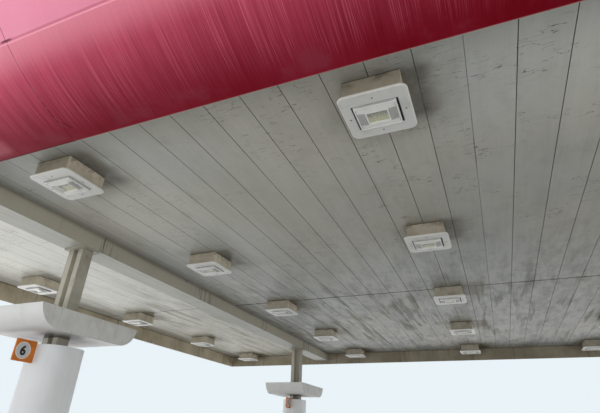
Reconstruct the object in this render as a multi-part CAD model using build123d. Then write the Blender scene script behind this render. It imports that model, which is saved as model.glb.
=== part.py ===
from build123d import *
import math
import os

# Filling station canopy, in millimetres, +Z up.
# The origin is on the floor under the middle of the roof.
# X runs along the front edge to the right, Y runs from the front edge to the back.

# Roof layout
INNER_LENGTH = 18100        # between the left and right liners
INNER_WIDTH = 14030         # between the front and back liners
CLEARANCE_HEIGHT = 4113     # floor to the lower edge of the fascia
LINER_DROP = 385            # underside of the deck pans to the lower edge of the fascia
COLUMN_SPACING_X = 10260
COLUMN_SPACING_Y = 9144

# Columns, rolled wide-flange sections with their flanges facing left and right
COLUMN_DEPTH = 303
COLUMN_FLANGE = 203
COLUMN_FLANGE_T = 13
COLUMN_WEB_T = 8
BASE_PLATE = 450
BASE_PLATE_T = 32
ANCHOR_SPACING = 340
ANCHOR_HOLE = 33
CAP_PLATE_X = 440
CAP_PLATE_Y = 300
CAP_PLATE_T = 25
DUCT_WIDTH = 90             # square duct in the column's recess
DUCT_T = 2
DUCT_SIDES = {"front_left": (-1, 1), "front_right": (-1, 1), "back_left": (-1,), "back_right": (1,)}

# Main beams, which run from front to back on the columns, and their sheet-metal wraps
BEAM_DEPTH = 352
BEAM_FLANGE = 171
BEAM_FLANGE_T = 10
BEAM_WEB_T = 7
BEAM_END_GAP = 12           # beam end to the liner
BEAM_DROP = 264             # underside of the wrap below the soffit
WRAP_WIDTH = 460
WRAP_T = 3
WRAP_LENGTH = 3048          # one length of wrap
WRAP_JOINT = 4
WRAP_FIRST_JOINT = 207      # behind the middle of the front columns
CAP_CLEARANCE = 3           # wrap cut-out round the cap plate

# Purlins, which run from left to right on the main beams
PURLIN_DEPTH = 305
PURLIN_FLANGE = 101
PURLIN_FLANGE_T = 7
PURLIN_WEB_T = 6
PURLIN_COUNT = 7
PURLIN_END_GAP = 157        # middle of the end purlins to the liner

# Deck pans, which hang from the purlins
PAN_PITCH = 406.4
PAN_SEAM = 6                # open line between two pans
PAN_T = 2
PAN_LIP = 22                # inward lip at the top of each side
PAN_END_JOINT = 8           # where the front and back runs meet
PAN_EDGE_GAP = 4            # pans to the liners
PAN_BEAM_GAP = 12           # pans to the main beam flanges
PAN_LEAST_WIDTH = 60

# Fascia, a curved sheet round the roof with a flat liner behind it
LINER_T = 3
SHEET_T = 4
SHEET_RADIUS = 1815         # outer face of the curve
LIP_SLOPE = 9.1             # degrees from level at the lower edge
LOWER_SHEET = 1000          # girth of the lower sheet
UPPER_SHEET = 1200          # girth of the upper sheet
SHEET_JOINT = 3             # open upright joint
CREASE_DEPTH = 9            # both sheets are bent in to a crease where they meet
CREASE_HALF = 14            # girth of each bent edge
CREASE_CLEARANCE = 4        # ribs to the bent edges
MITRE_GAP = 2               # each side's pieces to the corner's mitre plane, measured along the side
PANEL_LENGTH = 5170         # between the upright joints of the sheets
COPING_T = 3
COPING_WIDTH = 150
COPING_LEG = 50
COPING_OVERHANG = 12
RIB_T = 8
RIB_CHORD = 60
FRONT_RIB_COUNT = 9
RIB_END_INSET = 400

# Lights, five across and five deep
LIGHT_ROWS_X = (-8055, -3675, 215, 3715, 8055)
LIGHT_COUNT = 5             # from front to back
LIGHT_PITCH_Y = 3180
LIGHT_SHIFT_Y = 165
HOUSING_X = 530
HOUSING_Y = 550
HOUSING_DROP = 200
HOUSING_T = 3
TRIM_SIZE = 630
TRIM_T = 20
TRIM_CORNER = 70
TRIM_BEVEL = 11             # along the lower outer edge
WINDOW_X = 424
WINDOW_Y = 330
LENS_SLOT = 16              # open slot at the left and right of the lens frame
LENS_FIT = 4                # lens frame to the window at the front and back
LENS_FRAME_DROP = 30        # lens frame below the trim
LENS_FRAME_STEP = 14        # its upright rim below the trim
LENS_LAP_LENGTH = 300       # flanges of the lens frame that rest on the trim
LENS_LAP = 22
LENS_RIM = 14               # flat rim round the lens
LENS_X = 188
LENS_Y = 144
LENS_T = 6
LENS_RECESS = 12            # lens above the face of the rim
LENS_LEDGE = 4              # seat of the lens on each side

# Valances, boat-shaped boxes round the columns
VALANCE_LENGTH_X = 1220
VALANCE_WIDTH_Y = 1810
VALANCE_TOP = 3105
VALANCE_DEPTH = 300
VALANCE_RADIUS = 350
VALANCE_SHIFT = 60          # from the column towards the middle of the roof
VALANCE_T = 3
VALANCE_COLUMN_GAP = 12
BRACKET_SIZE = 60
BRACKET_T = 5

# Column covers, rounded shells from the floor up
COVER_X = 660
COVER_Y = 700
COVER_RADIUS = 260
COVER_SHIFT = 57            # from the column towards the middle of the roof
COVER_TOP = 2680
COVER_T = 5
COVER_FIT = 0.3             # cover lid to the column

# Number flags, plates that stand out from the front of the covers
FLAG_WIDTH = 312
FLAG_HEIGHT = 290
FLAG_T = 20
FLAG_TOP = 2710
FLAG_CORNER = 15

CUT_MARGIN = 1              # how far a cut reaches past what it cuts

# Worked-out levels and places
HALF_X = INNER_LENGTH / 2
HALF_Y = INNER_WIDTH / 2
SOFFIT_HEIGHT = CLEARANCE_HEIGHT + LINER_DROP
WRAP_BOTTOM = SOFFIT_HEIGHT - BEAM_DROP
BEAM_BOTTOM = WRAP_BOTTOM + WRAP_T
BEAM_TOP = BEAM_BOTTOM + BEAM_DEPTH
CAP_BOTTOM = BEAM_BOTTOM - CAP_PLATE_T
PURLIN_TOP = BEAM_TOP + PURLIN_DEPTH
BEAM_X = COLUMN_SPACING_X / 2
COLUMN_Y = COLUMN_SPACING_Y / 2
COLUMNS = {
    "front_left": (-BEAM_X, -COLUMN_Y),
    "front_right": (BEAM_X, -COLUMN_Y),
    "back_left": (-BEAM_X, COLUMN_Y),
    "back_right": (BEAM_X, COLUMN_Y),
}
LIGHT_Y = [LIGHT_SHIFT_Y + LIGHT_PITCH_Y * (i - (LIGHT_COUNT - 1) / 2) for i in range(LIGHT_COUNT)]
PURLIN_REACH = HALF_Y - PURLIN_END_GAP
PURLIN_Y = [PURLIN_REACH * (2 * i / (PURLIN_COUNT - 1) - 1) for i in range(PURLIN_COUNT)]


def save(name, solids):
    """Write one node from one solid or from several that stay apart."""
    items = solids if isinstance(solids, list) else [solids]
    shape = items[0] if len(items) == 1 else Compound(children=items)
    shape.label = name
    export_step(shape, f"parts/{name}.step")


def block(x0, x1, y0, y1, z0, z1):
    """A box from its low corner to its high corner."""
    return Pos((x0 + x1) / 2, (y0 + y1) / 2, (z0 + z1) / 2) * Box(x1 - x0, y1 - y0, z1 - z0)


def section(depth, flange, flange_t, web_t):
    """A wide-flange section about the origin, its depth along the sketch's X."""
    web = Rectangle(depth - flange_t, web_t)
    ends = [Pos(side * (depth - flange_t) / 2, 0) * Rectangle(flange_t, flange) for side in (-1, 1)]
    return web + ends


# Columns
def column(x, y):
    """A column with its base plate and cap plate welded on."""
    shaft = extrude(section(COLUMN_DEPTH, COLUMN_FLANGE, COLUMN_FLANGE_T, COLUMN_WEB_T),
                    CAP_BOTTOM - BASE_PLATE_T)
    anchors = GridLocations(ANCHOR_SPACING, ANCHOR_SPACING, 2, 2) * Circle(ANCHOR_HOLE / 2)
    base = extrude(Rectangle(BASE_PLATE, BASE_PLATE) - anchors, BASE_PLATE_T)
    cap = extrude(Rectangle(CAP_PLATE_X, CAP_PLATE_Y), CAP_PLATE_T)
    whole = base + Pos(0, 0, BASE_PLATE_T) * shaft + Pos(0, 0, CAP_BOTTOM) * cap
    return Pos(x, y, 0) * whole


def column_duct(x, y, side):
    """A square duct for rain water or cables, in the column's front recess against one flange."""
    depth = (COLUMN_FLANGE - COLUMN_WEB_T) / 2
    section_face = Rectangle(DUCT_WIDTH, depth) - Rectangle(DUCT_WIDTH - 2 * DUCT_T, depth - 2 * DUCT_T)
    reach = COLUMN_DEPTH / 2 - COLUMN_FLANGE_T - DUCT_WIDTH / 2
    duct = extrude(section_face, CAP_BOTTOM - BASE_PLATE_T)
    return Pos(x + side * reach, y - (COLUMN_WEB_T + depth) / 2, BASE_PLATE_T) * duct


# Main beams and purlins
def main_beam(x):
    """A main beam on edge, from just inside the front liner to the back one."""
    length = INNER_WIDTH - 2 * BEAM_END_GAP
    profile = Rot(0, 0, 90) * section(BEAM_DEPTH, BEAM_FLANGE, BEAM_FLANGE_T, BEAM_WEB_T)
    bar = extrude(Plane.XZ * profile, length / 2, both=True)
    return Pos(x, 0, (BEAM_BOTTOM + BEAM_TOP) / 2) * bar


def purlin(y):
    """A purlin on edge, from the left ribs to the right ones."""
    profile = Rot(0, 0, 90) * section(PURLIN_DEPTH, PURLIN_FLANGE, PURLIN_FLANGE_T, PURLIN_WEB_T)
    bar = extrude(Plane.YZ * profile, HALF_X + LINER_T, both=True)
    return Pos(0, y, BEAM_TOP + PURLIN_DEPTH / 2) * bar


def beam_wrap(x):
    """Lengths of folded sheet that box in the part of a beam below the deck."""
    outer = Pos(0, BEAM_DROP / 2) * Rectangle(WRAP_WIDTH, BEAM_DROP)
    inner = Pos(0, (BEAM_DROP + WRAP_T) / 2) * Rectangle(WRAP_WIDTH - 2 * WRAP_T, BEAM_DROP - WRAP_T)
    channel = extrude(Plane.XZ * (outer - inner), HALF_Y - PAN_EDGE_GAP, both=True)
    channel = Pos(x, 0, WRAP_BOTTOM) * channel
    half_cap_x = CAP_PLATE_X / 2 + CAP_CLEARANCE
    half_cap_y = CAP_PLATE_Y / 2 + CAP_CLEARANCE
    for y in (-COLUMN_Y, COLUMN_Y):
        channel -= block(x - half_cap_x, x + half_cap_x, y - half_cap_y, y + half_cap_y,
                         WRAP_BOTTOM - CUT_MARGIN, BEAM_BOTTOM)
    first_joint = -COLUMN_Y + WRAP_FIRST_JOINT
    joint_count = math.floor((HALF_Y - first_joint) / WRAP_LENGTH) + 1
    for y in [first_joint + WRAP_LENGTH * i for i in range(joint_count)]:
        channel -= block(x - WRAP_WIDTH, x + WRAP_WIDTH, y - WRAP_JOINT / 2, y + WRAP_JOINT / 2,
                         WRAP_BOTTOM - CUT_MARGIN, SOFFIT_HEIGHT + CUT_MARGIN)
    return list(channel.solids())


# Deck pans
def pan_section(width, depth):
    """A shallow pan: a flat face with upturned sides and inward lips."""
    half = width / 2
    points = [(-half + PAN_LIP, depth), (-half, depth), (-half, 0), (half, 0), (half, depth),
              (half - PAN_LIP, depth), (half - PAN_LIP, depth - PAN_T), (half - PAN_T, depth - PAN_T),
              (half - PAN_T, PAN_T), (-half + PAN_T, PAN_T), (-half + PAN_T, depth - PAN_T),
              (-half + PAN_LIP, depth - PAN_T)]
    return make_face(Polyline(*points, close=True))


def pan(x0, x1, y0, y1):
    """One pan that hangs from the purlins over a strip of the roof."""
    face = Plane.XZ * pan_section(x1 - x0, BEAM_TOP - SOFFIT_HEIGHT)
    bar = extrude(face, (y1 - y0) / 2, both=True)
    return Pos((x0 + x1) / 2, (y0 + y1) / 2, SOFFIT_HEIGHT) * bar


def deck(x0, x1):
    """All pans between two lines, in a front run and a back run."""
    runs = [(-HALF_Y + PAN_EDGE_GAP, -PAN_END_JOINT / 2), (PAN_END_JOINT / 2, HALF_Y - PAN_EDGE_GAP)]
    first = math.floor(x0 / PAN_PITCH) - 1
    last = math.ceil(x1 / PAN_PITCH) + 1
    pans = []
    for k in range(first, last + 1):
        left = max(x0, (k - 0.5) * PAN_PITCH + PAN_SEAM / 2)
        right = min(x1, (k + 0.5) * PAN_PITCH - PAN_SEAM / 2)
        if right - left > PAN_LEAST_WIDTH:
            pans += [pan(left, right, y0, y1) for y0, y1 in runs]
    return pans


# Fascia. Its section is drawn with X outward from the liner and Y up from the lower edge.
CENTRE_OUT = -SHEET_RADIUS * math.sin(math.radians(LIP_SLOPE))
CENTRE_UP = SHEET_RADIUS * math.cos(math.radians(LIP_SLOPE))
JOINT_SLOPE = LIP_SLOPE + math.degrees(LOWER_SHEET / SHEET_RADIUS)
TOP_SLOPE = JOINT_SLOPE + math.degrees(UPPER_SHEET / SHEET_RADIUS)
LOW_BEND = JOINT_SLOPE - math.degrees(CREASE_HALF / SHEET_RADIUS)
HIGH_BEND = JOINT_SLOPE + math.degrees(CREASE_HALF / SHEET_RADIUS)


def on_curve(radius, slope):
    """The point of the fascia's curve where it slopes by so many degrees."""
    angle = math.radians(slope)
    return (CENTRE_OUT + radius * math.sin(angle), CENTRE_UP - radius * math.cos(angle))


def slope_at(radius, outward):
    """The slope at which a curve of this radius is so far out from the lower edge."""
    return math.degrees(math.asin((outward - CENTRE_OUT) / radius))


def band(outer, inner, slopes_outer, slopes_inner):
    """The face between two arcs of the curve."""
    a0, a1 = slopes_outer
    b0, b1 = slopes_inner
    edges = [
        ThreePointArc(on_curve(outer, a0), on_curve(outer, (a0 + a1) / 2), on_curve(outer, a1)),
        Line(on_curve(outer, a1), on_curve(inner, b1)),
        ThreePointArc(on_curve(inner, b1), on_curve(inner, (b0 + b1) / 2), on_curve(inner, b0)),
        Line(on_curve(inner, b0), on_curve(outer, a0)),
    ]
    return make_face(edges)


SHEET_INSIDE = SHEET_RADIUS - SHEET_T
FASCIA_OUT = on_curve(SHEET_RADIUS, TOP_SLOPE)[0]
FASCIA_UP = on_curve(SHEET_INSIDE, TOP_SLOPE)[1]
CORNER_REACH = FASCIA_OUT + COPING_OVERHANG + COPING_T


def bent_edge(bend):
    """The edge of a sheet from its bend in to the bottom of the crease."""
    corners = [on_curve(SHEET_RADIUS, bend), on_curve(SHEET_RADIUS - CREASE_DEPTH, JOINT_SLOPE),
               on_curve(SHEET_INSIDE - CREASE_DEPTH, JOINT_SLOPE), on_curve(SHEET_INSIDE, bend)]
    return make_face(Polyline(*corners, close=True))


def lower_sheet_face():
    starts = (slope_at(SHEET_RADIUS, LINER_T), slope_at(SHEET_INSIDE, LINER_T))
    sheet = band(SHEET_RADIUS, SHEET_INSIDE, (starts[0], LOW_BEND), (starts[1], LOW_BEND))
    return sheet + bent_edge(LOW_BEND)


def upper_sheet_face():
    sheet = band(SHEET_RADIUS, SHEET_INSIDE, (HIGH_BEND, TOP_SLOPE), (HIGH_BEND, TOP_SLOPE))
    return sheet + bent_edge(HIGH_BEND)


def coping_face():
    """A cap along the top edge: a level strip with a turned-down outer leg."""
    outer = FASCIA_OUT + COPING_OVERHANG + COPING_T
    top = FASCIA_UP + COPING_T
    points = [(outer - COPING_WIDTH, top), (outer, top), (outer, top - COPING_LEG),
              (outer - COPING_T, top - COPING_LEG), (outer - COPING_T, top - COPING_T),
              (outer - COPING_WIDTH, top - COPING_T)]
    return make_face(Polyline(*points, close=True))


def rib_face():
    """A flat rib that carries the curved sheets, with straight chords round an open middle and a diagonal."""
    foot = on_curve(SHEET_INSIDE, slope_at(SHEET_INSIDE, LINER_T))
    crease = on_curve(SHEET_INSIDE, JOINT_SLOPE)
    tip = on_curve(SHEET_INSIDE, TOP_SLOPE)
    heel = (LINER_T, FASCIA_UP)
    curve = ThreePointArc(foot, on_curve(SHEET_INSIDE, (LIP_SLOPE + TOP_SLOPE) / 2), tip)
    whole = make_face([curve, Line(tip, heel), Line(heel, foot)])
    straight = make_face(Polyline(foot, crease, tip, heel, close=True))
    hollow = offset(straight, -RIB_CHORD, kind=Kind.INTERSECTION)
    run = math.dist(heel, crease)
    angle = math.degrees(math.atan2(crease[1] - heel[1], crease[0] - heel[0]))
    middle = ((heel[0] + crease[0]) / 2, (heel[1] + crease[1]) / 2)
    diagonal = Pos(*middle) * Rot(0, 0, angle) * Rectangle(run, RIB_CHORD)
    notch = Rectangle(2 * (CREASE_HALF + CREASE_CLEARANCE), 2 * (CREASE_DEPTH + CREASE_CLEARANCE))
    notch = Pos(*crease) * Rot(0, 0, JOINT_SLOPE) * notch
    return whole - (hollow - diagonal) - notch


def side_frames():
    """For each side: the turn from the right side, half its length and its distance out."""
    return {
        "right": (0, HALF_Y, HALF_X),
        "back": (90, HALF_X, HALF_Y),
        "left": (180, HALF_Y, HALF_X),
        "front": (270, HALF_X, HALF_Y),
    }


def along_side(face, side, start, end):
    """The fascia section drawn along one side between two places, its ends cut to the mitres."""
    turn, half, out = side_frames()[side]
    bar = extrude(Plane.XZ * face, end - start)
    bar = Pos(out, end, CLEARANCE_HEIGHT) * bar
    near = half - MITRE_GAP
    far = near + CORNER_REACH
    plan = make_face(Polyline((out, -near), (out, near), (out + CORNER_REACH, far),
                              (out + CORNER_REACH, -far), close=True))
    wedge = extrude(plan, FASCIA_UP + COPING_T + 2 * CUT_MARGIN)
    wedge = Pos(0, 0, CLEARANCE_HEIGHT - CUT_MARGIN) * wedge
    return Rot(0, 0, turn) * (bar & wedge)


def panels(face, side):
    """One side's sheets, with open upright joints between them."""
    _, half, _ = side_frames()[side]
    reach = half + CORNER_REACH
    count = math.ceil(half / PANEL_LENGTH - 0.5)
    joints = [PANEL_LENGTH * (i + 0.5) for i in range(count)]
    lines = [-reach] + [-y for y in reversed(joints)] + joints + [reach]
    gap = SHEET_JOINT / 2
    return [along_side(face, side, a + gap, b - gap) for a, b in zip(lines, lines[1:])]


def coping():
    """The cap round the top, in lengths that follow the sheets' joints."""
    return [length for side in side_frames() for length in panels(coping_face(), side)]


def rib_places(side):
    """Where the ribs stand along a side: at the purlins, or evenly along the front and back."""
    if side in ("left", "right"):
        return PURLIN_Y
    reach = HALF_X - RIB_END_INSET
    return [-reach + 2 * reach * i / (FRONT_RIB_COUNT - 1) for i in range(FRONT_RIB_COUNT)]


def rib(side, place):
    """One rib, with a tongue back to the end purlin on the front and back."""
    turn, _, out = side_frames()[side]
    face = rib_face()
    if side in ("front", "back"):
        web = out - PURLIN_Y[-1] - PURLIN_WEB_T / 2
        low = BEAM_TOP + PURLIN_FLANGE_T - CLEARANCE_HEIGHT
        high = PURLIN_TOP - PURLIN_FLANGE_T - CLEARANCE_HEIGHT
        tongue = Pos((LINER_T + RIB_CHORD / 2 - web) / 2, (low + high) / 2)
        face += tongue * Rectangle(web + LINER_T + RIB_CHORD / 2, high - low)
    plate = extrude(Plane.XZ * face, RIB_T / 2, both=True)
    return Rot(0, 0, turn) * Pos(out, place, CLEARANCE_HEIGHT) * plate


def liner(side):
    """The flat inner face of the fascia, from its lower edge to the purlins."""
    turn, half, out = side_frames()[side]
    end = half + LINER_T if side in ("left", "right") else half
    sheet = block(out, out + LINER_T, -end, end, CLEARANCE_HEIGHT, BEAM_TOP)
    return Rot(0, 0, turn) * sheet


# Lights. Each is drawn at the origin, with the soffit at the height of zero.
TRIM_BOTTOM = -HOUSING_DROP - TRIM_T
LENS_BOTTOM = TRIM_BOTTOM - LENS_FRAME_DROP
LENS_SEAT = LENS_BOTTOM + LENS_RECESS


def at_lights(piece):
    """A copy of one piece at every light."""
    return [Pos(x, y, SOFFIT_HEIGHT) * piece for x in LIGHT_ROWS_X for y in LIGHT_Y]


def light_housing():
    outer = block(-HOUSING_X / 2, HOUSING_X / 2, -HOUSING_Y / 2, HOUSING_Y / 2, -HOUSING_DROP, 0)
    inside_x = HOUSING_X / 2 - HOUSING_T
    inside_y = HOUSING_Y / 2 - HOUSING_T
    return outer - block(-inside_x, inside_x, -inside_y, inside_y, -HOUSING_DROP, -HOUSING_T)


def light_trim():
    """A plate with a window, its lower outer edge bevelled."""
    plate = extrude(RectangleRounded(TRIM_SIZE, TRIM_SIZE, TRIM_CORNER), TRIM_T)
    plate = chamfer(plate.faces().sort_by(Axis.Z)[0].edges(), TRIM_BEVEL)
    plate -= extrude(Rectangle(WINDOW_X, WINDOW_Y), TRIM_T)
    return Pos(0, 0, TRIM_BOTTOM) * plate


def lens_frame_outline(width, rim):
    """The lens frame seen from one side: an upright rim that tapers down to the lens."""
    step = TRIM_BOTTOM - LENS_FRAME_STEP
    points = [(-width / 2, -HOUSING_DROP), (width / 2, -HOUSING_DROP), (width / 2, step),
              (rim / 2, LENS_BOTTOM), (-rim / 2, LENS_BOTTOM), (-width / 2, step)]
    return make_face(Polyline(*points, close=True))


def lens_frame():
    """A frame that stands in the trim's window and tapers down to a flat rim round the lens."""
    length = WINDOW_X - 2 * LENS_SLOT
    width = WINDOW_Y - 2 * LENS_FIT
    along = extrude(Plane.XZ * lens_frame_outline(length, LENS_X + 2 * LENS_RIM), width / 2, both=True)
    across = extrude(Plane.YZ * lens_frame_outline(width, LENS_Y + 2 * LENS_RIM), length / 2, both=True)
    body = along & across
    lap_y = WINDOW_Y / 2 + LENS_LAP
    lap = block(-LENS_LAP_LENGTH / 2, LENS_LAP_LENGTH / 2, -lap_y, lap_y, -HOUSING_DROP,
                -HOUSING_DROP + HOUSING_T)
    top = -HOUSING_DROP + HOUSING_T
    hole = block(-LENS_X / 2 - LENS_LEDGE, LENS_X / 2 + LENS_LEDGE, -LENS_Y / 2 - LENS_LEDGE,
                 LENS_Y / 2 + LENS_LEDGE, LENS_SEAT, top)
    through = block(-LENS_X / 2, LENS_X / 2, -LENS_Y / 2, LENS_Y / 2, LENS_BOTTOM, LENS_SEAT)
    return body + lap - hole - through


def lens():
    plate = Rectangle(LENS_X + 2 * LENS_LEDGE, LENS_Y + 2 * LENS_LEDGE)
    return Pos(0, 0, LENS_SEAT) * extrude(plate, LENS_T)


# Valances. Each is drawn round a column at the origin, its middle shifted along Y.
def valance_outline(shrink, shift):
    """The boat section, its ends arcs down to a flat belly, made smaller all round by the given amount."""
    rise = VALANCE_TOP - VALANCE_DEPTH + VALANCE_RADIUS
    arc_y = VALANCE_WIDTH_Y / 2 - math.sqrt(VALANCE_RADIUS ** 2 - (VALANCE_RADIUS - VALANCE_DEPTH) ** 2)
    radius = VALANCE_RADIUS - shrink
    top = VALANCE_TOP - shrink
    start = math.asin((rise - top) / radius)
    middle = (start + math.pi / 2) / 2

    def on_arc(side, angle):
        return (shift + side * (arc_y + radius * math.cos(angle)), rise - radius * math.sin(angle))

    left, right = on_arc(-1, start), on_arc(1, start)
    low_left, low_right = on_arc(-1, math.pi / 2), on_arc(1, math.pi / 2)
    return make_face([
        ThreePointArc(left, on_arc(-1, middle), low_left),
        Line(low_left, low_right),
        ThreePointArc(low_right, on_arc(1, middle), right),
        Line(right, left),
    ])


def column_hole(low, high, gap):
    """The space that a column takes through a piece."""
    hx = COLUMN_DEPTH / 2 + gap
    hy = COLUMN_FLANGE / 2 + gap
    return block(-hx, hx, -hy, hy, low, high)


def valance_skin(shift):
    half = VALANCE_LENGTH_X / 2 - VALANCE_T
    outer = extrude(Plane.YZ * valance_outline(0, shift), half, both=True)
    inner = extrude(Plane.YZ * valance_outline(VALANCE_T, shift), half, both=True)
    bottom = VALANCE_TOP - VALANCE_DEPTH
    return outer - inner - column_hole(bottom - CUT_MARGIN, VALANCE_TOP + CUT_MARGIN, VALANCE_COLUMN_GAP)


def valance_end(sign, shift):
    plate = extrude(Plane.YZ * valance_outline(0, shift), VALANCE_T)
    start = VALANCE_LENGTH_X / 2 - VALANCE_T if sign > 0 else -VALANCE_LENGTH_X / 2
    return Pos(start, 0, 0) * plate


def valance_bracket(sign):
    """A square tube from the column's flange to the end plate, on the floor of the box."""
    outer = Rectangle(BRACKET_SIZE, BRACKET_SIZE)
    inner = Rectangle(BRACKET_SIZE - 2 * BRACKET_T, BRACKET_SIZE - 2 * BRACKET_T)
    start = COLUMN_DEPTH / 2
    length = VALANCE_LENGTH_X / 2 - VALANCE_T - start
    tube = extrude(Plane.YZ * (outer - inner), length)
    low = VALANCE_TOP - VALANCE_DEPTH + VALANCE_T
    offset_x = start if sign > 0 else -start - length
    return Pos(offset_x, 0, low + BRACKET_SIZE / 2) * tube


# Column covers and flags
def column_cover(shift):
    """A rounded shell with a lid that fits the column."""
    outer = extrude(RectangleRounded(COVER_X, COVER_Y, COVER_RADIUS), COVER_TOP)
    inside = RectangleRounded(COVER_X - 2 * COVER_T, COVER_Y - 2 * COVER_T, COVER_RADIUS - COVER_T)
    inner = extrude(inside, COVER_TOP - COVER_T)
    shell = Pos(0, shift, 0) * (outer - inner)
    return shell - column_hole(COVER_TOP - COVER_T - CUT_MARGIN, COVER_TOP + CUT_MARGIN, COVER_FIT)


def number_flag(shift):
    """A plate that stands out from the front of a cover."""
    plate = RectangleRounded(FLAG_WIDTH, FLAG_HEIGHT, FLAG_CORNER)
    flag = extrude(Plane.YZ * plate, FLAG_T / 2, both=True)
    return Pos(0, shift - (COVER_Y + FLAG_WIDTH) / 2, FLAG_TOP - FLAG_HEIGHT / 2) * flag


def build():
    """Write every node."""
    os.makedirs("parts", exist_ok=True)
    ducts, ends, brackets, flags = [], [], [], []
    for place, (x, y) in COLUMNS.items():
        inward = math.copysign(1, -y)
        here = Pos(x, y, 0)
        save(f"column_{place}", column(x, y))
        save(f"column_cover_{place}", here * column_cover(inward * COVER_SHIFT))
        save(f"valance_{place}", here * valance_skin(inward * VALANCE_SHIFT))
        ducts += [column_duct(x, y, side) for side in DUCT_SIDES[place]]
        ends += [here * valance_end(sign, inward * VALANCE_SHIFT) for sign in (-1, 1)]
        brackets += [here * valance_bracket(sign) for sign in (-1, 1)]
        flags.append(here * number_flag(inward * COVER_SHIFT))
    save("column_ducts", ducts)
    save("valance_end_plates", ends)
    save("valance_brackets", brackets)
    save("number_flags", flags)
    for name, x in (("left", -BEAM_X), ("right", BEAM_X)):
        save(f"main_beam_{name}", main_beam(x))
        save(f"beam_wrap_{name}", beam_wrap(x))
    save("purlins", [purlin(y) for y in PURLIN_Y])
    beam_side = BEAM_FLANGE / 2 + PAN_BEAM_GAP
    edge = HALF_X - PAN_EDGE_GAP
    save("deck_left", deck(-edge, -BEAM_X - beam_side))
    save("deck_middle", deck(-BEAM_X + beam_side, BEAM_X - beam_side))
    save("deck_right", deck(BEAM_X + beam_side, edge))
    for side in side_frames():
        save(f"liner_{side}", liner(side))
        save(f"fascia_lower_{side}", panels(lower_sheet_face(), side))
        save(f"fascia_upper_{side}", panels(upper_sheet_face(), side))
        save(f"fascia_ribs_{side}", [rib(side, place) for place in rib_places(side)])
    save("fascia_coping", coping())
    save("light_housings", at_lights(light_housing()))
    save("light_trims", at_lights(light_trim()))
    save("lens_frames", at_lights(lens_frame()))
    save("lenses", at_lights(lens()))


build()
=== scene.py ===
import math

import bmesh
import bpy
from mathutils import Matrix, Vector


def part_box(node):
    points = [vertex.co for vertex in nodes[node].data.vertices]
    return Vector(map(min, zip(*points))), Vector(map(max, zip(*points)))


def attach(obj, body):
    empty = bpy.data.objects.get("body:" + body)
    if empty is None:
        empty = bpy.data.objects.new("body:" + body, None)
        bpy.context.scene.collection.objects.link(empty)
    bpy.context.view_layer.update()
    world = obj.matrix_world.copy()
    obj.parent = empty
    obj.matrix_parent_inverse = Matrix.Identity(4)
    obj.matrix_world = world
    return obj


# Filling station canopy: finishes, fasteners, light modules, studio and camera. Lengths are in metres.
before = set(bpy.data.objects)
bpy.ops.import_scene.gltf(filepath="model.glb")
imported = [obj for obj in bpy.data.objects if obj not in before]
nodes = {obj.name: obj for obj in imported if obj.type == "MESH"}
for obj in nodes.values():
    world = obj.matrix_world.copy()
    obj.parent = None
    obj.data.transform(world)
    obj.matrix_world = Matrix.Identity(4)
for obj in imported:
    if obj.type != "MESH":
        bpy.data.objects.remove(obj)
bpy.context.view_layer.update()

# Places of the construction's pieces
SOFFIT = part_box("deck_middle")[0].z
ROOF_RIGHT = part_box("liner_right")[0].x
ROOF_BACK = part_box("liner_back")[0].y
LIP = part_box("liner_front")[0].z
WRAP_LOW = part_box("beam_wrap_left")[0].z
PLACES = ("front_left", "front_right", "back_left", "back_right")
COLUMNS = {place: (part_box("column_" + place)[0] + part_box("column_" + place)[1]) / 2 for place in PLACES}
BEAM_X = COLUMNS["back_right"].x
COLUMN_Y = COLUMNS["back_right"].y
PAN_PITCH = 0.4064
LIGHT_ROWS = (-8.055, -3.675, 0.215, 3.715, 8.055)
LIGHT_COUNT = 5                 # in a row
LIGHT_PITCH = 3.18
LIGHT_SHIFT = 0.165             # from the roof's middle to a row's middle light
LIGHT_PLACES = [(x, LIGHT_SHIFT + LIGHT_PITCH * (i - (LIGHT_COUNT - 1) / 2))
                for x in LIGHT_ROWS for i in range(LIGHT_COUNT)]
HOUSING_HALF = 0.27
LIGHT_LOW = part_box("light_trims")[0].z
LENS_FRAME_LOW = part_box("lens_frames")[0].z
LENS_WINDOW = (0.424, 0.330)    # opening of the trim plate
LENS_FRAME = (0.392, 0.322)     # foot of the sloping lens frame
LENS_RIM = (0.216, 0.172)       # flat rim round the lens
LENS_STEP = LIGHT_LOW - 0.014   # where the frame's sides begin to slope
FIN_REACH = 0.082               # half the length of a row of fins
SHEET_CREASE = 1.0              # girth from the fascia's lower edge to the joint of its two sheets
SHEET_RADIUS = 1.815
LIP_SLOPE = math.radians(9.1)
SHEET_END = 2.585               # upright joints of the sheets, from the middle of each side
WRAP_LENGTH = 3.048
WRAP_FIRST_JOINT = COLUMNS["front_left"].y + 0.207
LINER_LENGTH = 3.048
FLAG_NUMBERS = {"front_left": "6", "back_left": "5", "front_right": "8", "back_right": "7"}


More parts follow.
